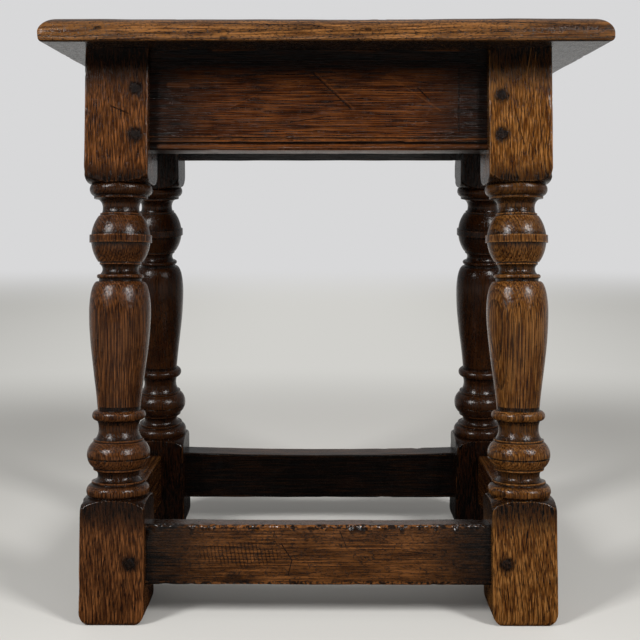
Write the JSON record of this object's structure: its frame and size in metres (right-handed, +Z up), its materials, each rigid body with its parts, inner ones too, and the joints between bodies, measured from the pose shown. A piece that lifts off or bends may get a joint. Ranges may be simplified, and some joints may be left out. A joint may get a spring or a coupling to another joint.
{
  "type": "joint stool",
  "caption": "Oblong joined oak stool with a thumb-moulded seat, raked turned legs, moulded rails and low stretchers, mortised, tenoned and pegged.",
  "frame": {"origin": "on the floor under the middle of the seat board", "axes": "+Z up, +X to the right seen from the front along the long side, -Y is the front"},
  "size_m": [0.47, 0.3078, 0.5028],
  "materials": {
    "legs": "dark waxed oak",
    "rails": "dark waxed oak",
    "stretchers": "dark waxed oak",
    "seat": "dark waxed oak",
    "pegs": "dark waxed oak end grain"
  },
  "bodies": {
    "root": {"front_left_leg": "legs", "front_rail": "rails", "front_rail_left_pegs": "pegs", "front_rail_right_pegs": "pegs", "front_right_leg": "legs", "front_stretcher": "stretchers", "front_stretcher_left_peg": "pegs", "front_stretcher_right_peg": "pegs", "left_rail": "rails", "left_rail_front_pegs": "pegs", "left_rail_rear_pegs": "pegs", "left_stretcher": "stretchers", "left_stretcher_front_peg": "pegs", "left_stretcher_rear_peg": "pegs", "rear_left_leg": "legs", "rear_rail": "rails", "rear_rail_left_pegs": "pegs", "rear_rail_right_pegs": "pegs", "rear_right_leg": "legs", "rear_stretcher": "stretchers", "rear_stretcher_left_peg": "pegs", "rear_stretcher_right_peg": "pegs", "right_rail": "rails", "right_rail_front_pegs": "pegs", "right_rail_rear_pegs": "pegs", "right_stretcher": "stretchers", "right_stretcher_front_peg": "pegs", "right_stretcher_rear_peg": "pegs", "seat_pegs": "pegs", "seat_top": "seat"}
  },
  "joints": []
}
